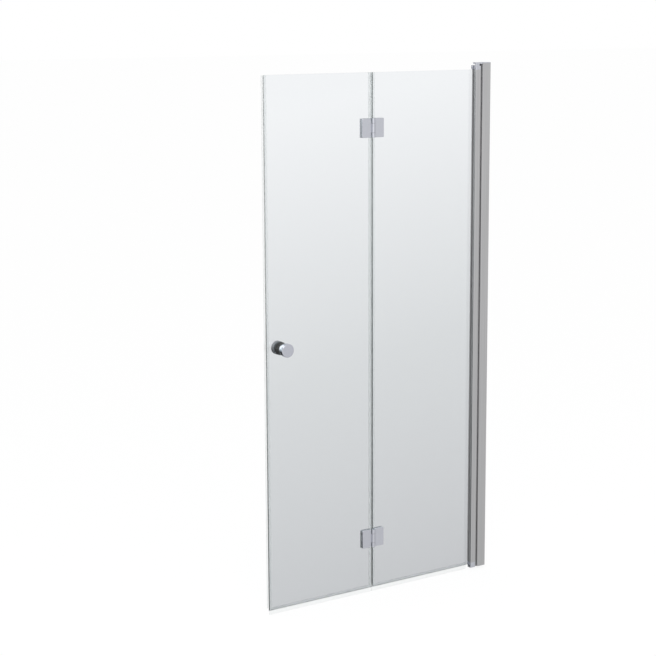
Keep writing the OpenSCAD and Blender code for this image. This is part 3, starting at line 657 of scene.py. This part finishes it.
def eased(node: str, width_mm: float, segments: int = 2) -> bpy.types.Object:
    """A copy of a construction node whose sharp edges are eased by a small round or chamfer.

    The copy's loose triangles are merged, its flat faces joined and its stored normals dropped. Then a
    bevel of the given width, live on the piece, takes every sharp edge.

    Args:
        node: The construction node's name.
        width_mm: Width of the eased edge in millimetres.
        segments: Number of faces across it.

    Returns:
        The new object, which already rides on the node's body and stands for the node.
    """
    source = frame["nodes"][node]
    mesh = bpy.data.meshes.new(node + "_eased")
    work = bmesh.new()
    work.from_mesh(source.data)
    bmesh.ops.remove_doubles(work, verts=work.verts, dist=MERGE_DISTANCE)
    bmesh.ops.dissolve_limit(
        work, angle_limit=FLAT_ANGLE, verts=work.verts, edges=work.edges, use_dissolve_boundaries=False
    )
    work.to_mesh(mesh)
    work.free()
    mesh.attributes.remove(mesh.attributes["custom_normal"])
    mesh.shade_smooth()
    piece = bpy.data.objects.new(node + "_eased", mesh)
    bpy.context.scene.collection.objects.link(piece)
    bevel = piece.modifiers.new("eased_edges", "BEVEL")
    bevel.width, bevel.segments = width_mm * MM, segments
    bevel.limit_method, bevel.angle_limit = "ANGLE", EASED_ANGLE
    bevel.harden_normals = True
    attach(piece, source["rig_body"])
    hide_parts(node)
    return piece


def dress(
    piece: bpy.types.Object, material: bpy.types.Material
) -> bpy.types.Object:
    """Gives a piece one material all over, in each of its slots, or in a new slot where it has none.

    Args:
        piece: A construction node's object or a new piece.
        material: The finish.

    Returns:
        The same piece.
    """
    if piece.material_slots:
        for material_slot in piece.material_slots:
            material_slot.material = material
    else:
        piece.data.materials.append(material)
    return piece


# ---- Sub-assemblies ----


@dataclass(frozen=True)
class SubAssembly:
    """Pieces of the door that are put together as one."""

    finishes: Finishes

    def build(self) -> list[bpy.types.Object]:
        """Makes and dresses every piece of the sub-assembly.

        Returns:
            The pieces.
        """
        raise NotImplementedError

    @staticmethod
    def keep(material: bpy.types.Material, *names: str) -> list[bpy.types.Object]:
        """Dresses construction nodes that show as they are.

        Args:
            material: Their finish.
            names: The nodes' names.

        Returns:
            Their objects.
        """
        return [dress(frame["nodes"][name], material) for name in names]

    @staticmethod
    def ease(
        material: bpy.types.Material, slot: Slot, width_mm: float, *names: str
    ) -> list[bpy.types.Object]:
        """Shows construction nodes as copies with eased edges.

        Args:
            material: The copies' finish.
            slot: Their slot of the record; not used.
            width_mm: Width of their eased edges in millimetres.
            names: The nodes' names.

        Returns:
            The copies.
        """
        return [dress(eased(name, width_mm), material) for name in names]


@dataclass(frozen=True)
class WallFrame(SubAssembly):
    """Wall channel, fixed profile, brackets and their fasteners."""

    casting_edge_mm: float = 0.8
    cap_edge_mm: float = 0.5

    def build(self) -> list[bpy.types.Object]:
        """Dresses the extrusions and fasteners, and eases the edges of the castings and the cap.

        Returns:
            The pieces.
        """
        finishes = self.finishes
        return [
            *self.keep(finishes.aluminium, "wall_channel", "fixed_profile"),
            *self.keep(finishes.steel, "profile_lock_screws", "bottom_bracket_screw"),
            *self.keep(finishes.steel, "top_pivot_pin", "bottom_pivot_pin"),
            *self.keep(finishes.black, "top_bracket_screw", "top_pin_clip"),
            *self.keep(finishes.acetal, "fixed_lift_cam"),
            *self.ease(finishes.chrome, Slot.CHROME, self.casting_edge_mm, "top_bracket", "bottom_bracket"),
            *self.ease(finishes.chrome, Slot.CHROME, self.cap_edge_mm, "channel_top_cap"),
        ]


@dataclass(frozen=True)
class Pivot(SubAssembly):
    """Glass carrier with its caps, the lift cams and the guide bush."""

    cap_edge_mm: float = 0.4
    gasket_edge_mm: float = 0.2

    def build(self) -> list[bpy.types.Object]:
        """Dresses the carrier and the working parts, and eases the edges of the caps and the gasket.

        Returns:
            The pieces.
        """
        finishes = self.finishes
        return [
            *self.keep(finishes.aluminium, "glass_carrier"),
            *self.ease(finishes.gasket, Slot.GASKET, self.gasket_edge_mm, "carrier_gasket"),
            *self.keep(finishes.steel, "cam_roll_pin"),
            *self.keep(finishes.acetal, "moving_lift_cam", "guide_bush"),
            *self.ease(
                finishes.chrome, Slot.CHROME, self.cap_edge_mm, "carrier_top_cap", "carrier_bottom_cap"
            ),
        ]


@dataclass(frozen=True)
class Panes(SubAssembly):
    """The two panes, with a fine chamfer ground along every edge."""

    arris_mm: float = 0.7

    def build(self) -> list[bpy.types.Object]:
        """Chamfers and dresses both panes.

        Returns:
            The pieces.
        """
        return [
            dress(eased(name, self.arris_mm, segments=1), self.finishes.glass)
            for name in ("right_pane", "left_pane")
        ]


@dataclass(frozen=True)
class Hinge(SubAssembly):
    """One glass-to-glass hinge: two outer plates on a pin, two inner clamp plates."""

    height: Height
    plate_edge_mm: float = 0.7
    clamp_edge_mm: float = 1.8
    gasket_edge_mm: float = 0.2

    def build(self) -> list[bpy.types.Object]:
        """Eases the edges of the plates and gaskets, and dresses every piece of the hinge.

        Returns:
            The pieces.
        """
        finishes = self.finishes
        stem = f"{self.height.value}_hinge"
        pieces = []
        for side in Side:
            half = f"{stem}_{side.name.lower()}"
            pieces += self.ease(finishes.chrome, Slot.CHROME, self.plate_edge_mm, half + "_plate")
            pieces += self.ease(finishes.chrome, Slot.CHROME, self.clamp_edge_mm, half + "_clamp")
            pieces += self.ease(finishes.gasket, Slot.GASKET, self.gasket_edge_mm, half + "_gaskets")
            pieces += self.keep(finishes.steel, half + "_screws")
        pieces += self.keep(finishes.chrome, stem + "_pin")
        pieces += self.keep(finishes.washer, stem + "_washers")
        return pieces


@dataclass(frozen=True)
class Knob(SubAssembly):
    """Outer and inner knob on a stud through the left pane.

    The outer knob is chromed on its head and on the end of its waist, up to chromed_length from its face.
    Behind that it is painted dull black, as painted shade and dark reflection of its waist and base.
    """

    washer_edge_mm: float = 0.2
    chromed_length: float = 25.0 * MM

    def build(self) -> list[bpy.types.Object]:
        """Dresses the knob's pieces, and eases the edges of its soft sleeve and washers.

        Returns:
            The pieces.
        """
        low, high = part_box("knob_outer")
        centre = tuple((low + high) / 2)
        # Brass, turned: the chromed part is a bright mirror with faint rings; the rest is painted dull
        # black, painted shade and dark reflection of the waist and base
        outer = TurnedMetal(
            "turned_chrome_knob",
            "#C4C6CF",
            "#BFC1CA",
            roughness=0.16,
            axis=Axis.Y,
            centre=centre,
            painted_dark_y=low.y + self.chromed_length,
        ).build()
        # Brass, turned: a duller, darker copy of the outer knob's chrome; its even grey is painted shade,
        # for the inner knob seen through the glass
        inner = TurnedMetal(
            "satin_nickel_knob", "#ACADB0", "#A7A8AB", roughness=0.5, axis=Axis.Y, centre=centre
        ).build()
        finishes = self.finishes
        return [
            *self.keep(outer, "knob_outer"),
            *self.keep(inner, "knob_inner"),
            *self.ease(finishes.gasket, Slot.GASKET, self.washer_edge_mm, "knob_sleeve", "knob_washers"),
            *self.keep(finishes.steel, "knob_stud"),
            *self.keep(finishes.black, "knob_grub_screw"),
        ]


@dataclass(frozen=True)
class Seals(SubAssembly):
    """The clear seals: clips at the fold, under the panes and on the closing edge.

    Each is one moulded section carried along its edge. The section's corners are rounded, as a die leaves
    them, and a thin film of air, the play, lies between it and the glass. A clip's legs reach clip_leg over
    the glass. Beside a hinge they end at the distance notch from the fold, over the height of the plate
    and notch_play above and below it.
    """

    wall: float = 1.0 * MM
    play: float = 0.15 * MM
    corner: float = 0.45 * MM
    pane_gap: float = 6.0 * MM
    clip_leg: float = 10.0 * MM
    notch: float = 8.7 * MM
    notch_play: float = 0.3 * MM
    bulb_radius: float = 1.8 * MM
    bulb_play: float = 0.05 * MM
    bulb_steps: int = 24
    drip_reach: float = 3.0 * MM
    drip_drop: float = 6.0 * MM
    lip_bead: float = 1.0 * MM

    def build(self) -> list[bpy.types.Object]:
        """Builds, places and dresses the five seals, and the bulb of the left fold seal.

        Returns:
            The pieces.
        """
        clear, dark_grey = self.finishes.vinyl, self.finishes.bulb
        return [
            self.place(self.closing_seal(), "closing_seal", Body.LEFT_LEAF, clear),
            self.place(self.fold_seal(Side.RIGHT), "right_fold_seal", Body.RIGHT_LEAF, clear),
            self.place(self.fold_seal(Side.LEFT), "left_fold_seal", Body.LEFT_LEAF, clear),
            self.place(self.fold_bulb(), "left_fold_seal", Body.LEFT_LEAF, dark_grey),
            self.place(self.bottom_seal("right_bottom_seal"), "right_bottom_seal", Body.RIGHT_LEAF, clear),
            self.place(self.bottom_seal("left_bottom_seal"), "left_bottom_seal", Body.LEFT_LEAF, clear),
        ]

    @staticmethod
    def place(
        piece: bpy.types.Object, node: str, body: Body, finish: bpy.types.Material
    ) -> bpy.types.Object:
        """Makes a seal ride on its leaf and stand for its construction node.

        Args:
            piece: The seal, or a part of it.
            node: The construction node that it stands for.
            body: The leaf that it rides on.
            finish: Its finish.

        Returns:
            The same piece.
        """
        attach(piece, body.value)
        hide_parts(node)
        return dress(piece, finish)

    @staticmethod
    def glass_faces() -> tuple[float, float]:
        """Y of the front and of the back face of the glass."""
        low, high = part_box("left_pane")
        return low.y, high.y

    def closing_seal(self) -> bpy.types.Object:
        """Clip on the left edge of the glass with a soft lip that ends in a bead.

        The section, seen from above, is the same at both ends. The bead reaches lip_bead to either side of
        the lip's middle. It is twice lip_bead long and tapers into the lip over one more.

        Returns:
            The new object.
        """
        low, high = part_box("closing_seal")
        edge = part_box("left_pane")[0].x
        front, back = self.glass_faces()
        middle, half, bead = (front + back) / 2, self.wall / 2, self.lip_bead
        spine, tip = edge - self.wall, edge + self.clip_leg
        corners = [
            (low.x, middle - bead),
            (low.x + 2 * bead, middle - bead),
            (low.x + 3 * bead, middle - half),
            (spine, middle - half),
            (spine, front - self.wall),
            (tip, front - self.wall),
            (tip, front - self.play),
            (edge - self.play, front - self.play),
            (edge - self.play, back + self.play),
            (tip, back + self.play),
            (tip, back + self.wall),
            (spine, back + self.wall),
            (spine, middle + half),
            (low.x + 3 * bead, middle + half),
            (low.x + 2 * bead, middle + bead),
            (low.x, middle + bead),
        ]
        outline = rounded(np.array(corners), self.corner)
        return swept("closing_seal_moulded", stacked(outline, np.array([low.z, high.z])))

    def clip_section(self, leg: float) -> np.ndarray:
        """Section of a fold seal's clip.

        Args:
            leg: Distance of the legs' tips from the fold.

        Returns:
            Outline in X away from the fold and in Y, of shape (points, 2).
        """
        front, back = self.glass_faces()
        edge = self.pane_gap / 2
        spine = edge - self.wall
        corners = [
            (spine, front - self.wall),
            (leg, front - self.wall),
            (leg, front - self.play),
            (edge - self.play, front - self.play),
            (edge - self.play, back + self.play),
            (leg, back + self.play),
            (leg, back + self.wall),
            (spine, back + self.wall),
        ]
        return rounded(np.array(corners), self.corner)

    def fold_seal(self, side: Side) -> bpy.types.Object:
        """Clip on a pane's edge at the fold, cut back where the hinge plates sit.

        The section at each height is the clip's. Its legs have their full length, or end at the notch
        beside a hinge, and change from one to the other over a height as large as the corner's radius.

        Args:
            side: The pane's side of the fold.

        Returns:
            The new object.
        """
        node = f"{side.name.lower()}_fold_seal"
        low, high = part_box(node)
        fold = (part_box("left_pane")[1].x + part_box("right_pane")[0].x) / 2
        full_leg = self.pane_gap / 2 + self.clip_leg
        heights, legs = [low.z], [full_leg]
        for height in (Height.LOWER, Height.UPPER):
            plate_low, plate_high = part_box(f"{height.value}_hinge_right_plate")
            start, end = plate_low.z - self.notch_play, plate_high.z + self.notch_play
            heights += [start - self.corner, start, end, end + self.corner]
            legs += [full_leg, self.notch, self.notch, full_leg]
        heights.append(high.z)
        legs.append(full_leg)
        sections = np.stack([self.clip_section(leg) for leg in legs])
        rings = np.empty(sections.shape[:2] + (3,))
        rings[..., 0] = fold + side.value * sections[..., 0]
        rings[..., 1] = sections[..., 1]
        rings[..., 2] = np.array(heights)[:, None]
        return swept(f"{node}_moulded", rings)

    def fold_bulb(self) -> bpy.types.Object:
        """Soft bulb on the spine of the left clip, which closes the gap between the panes.

        Its section is a circle: its centre plus the radius times the cosine and sine of the turn.

        Returns:
            The new object.
        """
        low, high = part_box("left_fold_seal")
        front, back = self.glass_faces()
        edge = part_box("left_pane")[1].x
        centre = edge + self.wall + self.bulb_play + self.bulb_radius
        middle = (front + back) / 2
        turn = np.linspace(0, math.tau, self.bulb_steps, endpoint=False)
        outline = np.column_stack(
            [centre + self.bulb_radius * np.cos(turn), middle + self.bulb_radius * np.sin(turn)]
        )
        return swept("left_fold_bulb_moulded", stacked(outline, np.array([low.z, high.z])))

    def bottom_seal(self, node: str) -> bpy.types.Object:
        """Clip under a pane with a hanging lip in its middle and a slanting drip fin behind it.

        The section, seen from the side, is the same at both ends.

        Args:
            node: The construction node that it stands for.

        Returns:
            The new object.
        """
        low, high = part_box(node)
        front, back = self.glass_faces()
        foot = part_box("left_pane")[0].z
        middle, half, web = (front + back) / 2, self.wall / 2, foot - self.wall
        fin_root, fin_tip = back + self.wall / 3, back + self.drip_reach
        fin_foot = foot - self.drip_drop
        corners = [
            (front - self.wall, high.z),
            (front - self.wall, web),
            (middle - half, web),
            (middle - half, low.z),
            (middle + half, low.z),
            (middle + half, web),
            (fin_root, web),
            (fin_tip - self.wall, fin_foot),
            (fin_tip, fin_foot),
            (back + self.wall, foot),
            (back + self.wall, high.z),
            (back + self.play, high.z),
            (back + self.play, foot - self.play),
            (front - self.play, foot - self.play),
            (front - self.play, high.z),
        ]
        outline = rounded(np.array(corners), self.corner)
        rings = np.empty((2, len(outline), 3))
        rings[..., 0] = np.array([low.x, high.x])[:, None]
        rings[..., 1:] = outline
        return swept(f"{node}_moulded", rings)


# ---- Studio ----


@dataclass(frozen=True)
class Fade:
    """A smooth change to another level between two heights, where a direction's height is its Z."""

    start: float
    end: float
    level: float


@dataclass(frozen=True)
class Surround:
    """Brightness of what metal mirrors, as a level that fades to others with height."""

    level: float
    fades: tuple[Fade, ...] = ()

    def brightness(
        self, tree: bpy.types.NodeTree, height: bpy.types.NodeSocket
    ) -> float | bpy.types.NodeSocket:
        """The level at a direction's height.

        Args:
            tree: The world's node tree.
            height: Z of the direction.

        Returns:
            A plain level, or the output that holds it.
        """
        level = self.level
        for fade in self.fades:
            span = {"Value": height, "From Min": fade.start, "From Max": fade.end}
            share = add_node(tree, "MapRange", span, interpolation_type="SMOOTHSTEP").outputs["Result"]
            level = add_node(tree, "Mix", {0: share, 2: level, 3: fade.level}, data_type="FLOAT").outputs[0]
        return level


@dataclass(frozen=True)
class Patch:
    """A patch of the surroundings, round an aim.

    A direction's share of it rises smoothly from 0 at the outer cosine to 1 at the inner cosine of the
    angle between the direction and the aim. An upright patch takes the direction's bearing alone. In a cut
    patch the share is multiplied by a rise from 0 to 1 between two values of the direction's Y.
    """

    look: Surround
    azimuth: float
    outer: float
    inner: float
    elevation: float = 0.0
    upright: bool = False
    cut: tuple[float, float] | None = None

    def aim(self) -> Triple:
        """Unit vector of the aim, whose azimuth is 0 along +Y and 90 along +X."""
        turn, rise = math.radians(self.azimuth), math.radians(self.elevation)
        return math.sin(turn) * math.cos(rise), math.cos(turn) * math.cos(rise), math.sin(rise)


@dataclass(frozen=True)
class Studio:
    """Camera, world, lamp and floor: a white sweep with one dark flag behind the door on its left.

    Metal mirrors a little more light from the front, and less from the right and from below. The flag
    darkens the sides of the profiles and plates that face left. Before it hangs a round light that fades
    downwards and is cut off where directions turn away from the Y axis, so that the side of the knob
    mirrors it and the profiles don't.
    """

    camera_place: Triple = (-4.0137, -5.0759, 2.2158)
    yaw: float = 34.474
    pitch: float = 10.27
    focal_pixels: float = 1675.0
    frame_pixels: float = 656.0
    shift_pixels: tuple[float, float] = (46.0, -20.0)
    sensor_mm: float = 36.0
    clip: tuple[float, float] = (0.1, 200.0)
    floor_z: float = -10.5 * MM
    floor_reach: float = 60.0
    floor_colour: str = "#E8E8E8"
    floor_shade: str = "#606060"
    floor_glow: float = 0.9
    lamp_power: float = 75.0
    lamp_size: float = 2.6
    lamp_place: Triple = (-2.6, -3.6, 3.9)
    lamp_target: Triple = (-0.5, 0.0, 1.0)
    world_level: float = 0.78
    around: Surround = Surround(1.0, (Fade(0.05, -0.45, 0.76),))
    patches: tuple[Patch, ...] = (
        # Light from the front
        Patch(Surround(1.3), azimuth=186.0, outer=0.86, inner=0.98),
        # Shade on the right
        Patch(Surround(0.7), azimuth=84.0, outer=0.7, inner=0.95),
        # The flag, open at its top
        Patch(
            Surround(0.05, (Fade(-0.2, 0.1, 0.12), Fade(0.8, 0.95, 1.0))),
            azimuth=-30.0,
            outer=0.7,
            inner=0.92,
            upright=True,
        ),
        # The round light
        Patch(
            Surround(0.6, (Fade(-0.35, 0.2, 3.2),)),
            azimuth=-23.0,
            outer=0.82,
            inner=0.92,
            elevation=14.0,
            cut=(0.8, 0.83),
        ),
    )

    def build(self) -> None:
        """Makes the camera, the world, the lamp and the floor."""
        bpy.context.scene.view_settings.view_transform = "Standard"
        self.make_camera()
        self.make_world()
        self.make_lamp()
        self.make_floor()

    def make_camera(self) -> None:
        """Places the camera at the photograph's viewing angle."""
        data = bpy.data.cameras.new("camera")
        data.sensor_width = self.sensor_mm
        data.lens = self.focal_pixels / self.frame_pixels * self.sensor_mm
        data.shift_x = -self.shift_pixels[0] / self.frame_pixels
        data.shift_y = self.shift_pixels[1] / self.frame_pixels
        data.clip_start, data.clip_end = self.clip
        camera = bpy.data.objects.new("camera", data)
        camera.location = self.camera_place
        camera.rotation_euler = (math.radians(90 - self.pitch), 0.0, math.radians(-self.yaw))
        bpy.context.scene.collection.objects.link(camera)
        bpy.context.scene.camera = camera

    def make_world(self) -> None:
        """White where the camera or glass sees it, a plain level for matt surfaces, a studio for metal.

        The studio's level starts as the light all round. Then each patch is mixed over it, by its share.
        """
        world = bpy.data.worlds.new("studio_world")
        bpy.context.scene.world = world
        world.use_nodes = True
        tree = world.node_tree
        tree.nodes.clear()
        direction = add_node(tree, "TexCoord").outputs["Generated"]
        parts = add_node(tree, "SeparateXYZ", {"Vector": direction}).outputs
        flat = add_node(tree, "VectorMath", {0: direction, 1: (1, 1, 0)}, operation="MULTIPLY")
        bearing = add_node(tree, "VectorMath", {0: flat.outputs["Vector"]}, operation="NORMALIZE")
        level = self.around.brightness(tree, parts["Z"])
        for patch in self.patches:
            pair = {0: bearing.outputs["Vector"] if patch.upright else direction, 1: patch.aim()}
            nearness = add_node(tree, "VectorMath", pair, operation="DOT_PRODUCT").outputs["Value"]
            span = {"Value": nearness, "From Min": patch.outer, "From Max": patch.inner}
            share = add_node(tree, "MapRange", span, interpolation_type="SMOOTHSTEP").outputs["Result"]
            if patch.cut is not None:
                span = {"Value": parts["Y"], "From Min": patch.cut[0], "From Max": patch.cut[1]}
                inside = add_node(tree, "MapRange", span, interpolation_type="SMOOTHSTEP").outputs["Result"]
                share = add_node(tree, "Math", {0: inside, 1: share}, operation="MULTIPLY").outputs["Value"]
            look = patch.look.brightness(tree, parts["Z"])
            level = add_node(tree, "Mix", {0: share, 2: level, 3: look}, data_type="FLOAT").outputs[0]
        mirrored = add_node(tree, "LightPath").outputs["Is Glossy Ray"]
        levels = {0: mirrored, 2: self.world_level, 3: level}
        lit = add_node(tree, "Mix", levels, data_type="FLOAT").outputs[0]
        strengths = {0: seen_plainly(tree), 2: lit, 3: 1.0}
        strength = add_node(tree, "Mix", strengths, data_type="FLOAT").outputs[0]
        background = add_node(tree, "Background", {"Color": (1, 1, 1, 1), "Strength": strength})
        add_node(tree, "OutputWorld", {"Surface": background.outputs["Background"]})

    def make_lamp(self) -> None:
        """Hangs one large soft lamp, high on the left in front of the door."""
        data = bpy.data.lights.new("softbox", "AREA")
        data.energy, data.size = self.lamp_power, self.lamp_size
        lamp = bpy.data.objects.new("softbox", data)
        lamp.location = self.lamp_place
        aim = np.array(self.lamp_target) - np.array(self.lamp_place)
        flat = math.hypot(aim[0], aim[1])
        lamp.rotation_euler = (math.atan2(flat, -aim[2]), 0.0, math.atan2(aim[1], aim[0]) - math.pi / 2)
        bpy.context.scene.collection.objects.link(lamp)

    def make_floor(self) -> None:
        """Lays a wide pale floor, white to the camera and through glass, that keeps a faint shadow."""
        reach, z = self.floor_reach, self.floor_z
        mesh = bpy.data.meshes.new("floor")
        corners = [(-reach, -reach, z), (reach, -reach, z), (reach, reach, z), (-reach, reach, z)]
        mesh.from_pydata(corners, [], [(0, 1, 2, 3)])
        floor = bpy.data.objects.new("floor", mesh)
        bpy.context.scene.collection.objects.link(floor)
        floor.visible_glossy = False
        # Matt white paper, rolled out: plain, and glowing for the camera so that only the shadow shows
        material, tree = new_material("studio_floor")
        shadow = add_node(tree, "BsdfDiffuse", {"Color": linear(self.floor_shade)}).outputs["BSDF"]
        glow = add_node(tree, "Emission", {"Color": (1, 1, 1, 1), "Strength": self.floor_glow})
        white = add_node(tree, "AddShader", {0: shadow, 1: glow.outputs["Emission"]}).outputs["Shader"]
        matt = add_node(tree, "BsdfDiffuse", {"Color": linear(self.floor_colour)}).outputs["BSDF"]
        mix = add_node(tree, "MixShader", {0: seen_plainly(tree), 1: matt, 2: white})
        add_node(tree, "OutputMaterial", {"Surface": mix.outputs["Shader"]})
        mesh.materials.append(material)


def main() -> None:
    """Builds the studio and every sub-assembly of the door, in order, and reports each piece."""
    logging.basicConfig(level=logging.INFO, format="%(message)s")
    Studio().build()
    finishes = Finishes.make()
    assemblies = (
        WallFrame(finishes),
        Pivot(finishes),
        Panes(finishes),
        Hinge(finishes, Height.UPPER),
        Hinge(finishes, Height.LOWER),
        Knob(finishes),
        Seals(finishes),
    )
    for assembly in assemblies:
        for piece in assembly.build():
            log.info("%s: %s in %s", type(assembly).__name__, piece.name, piece.active_material.name)


if __name__ == "__main__":
    main()
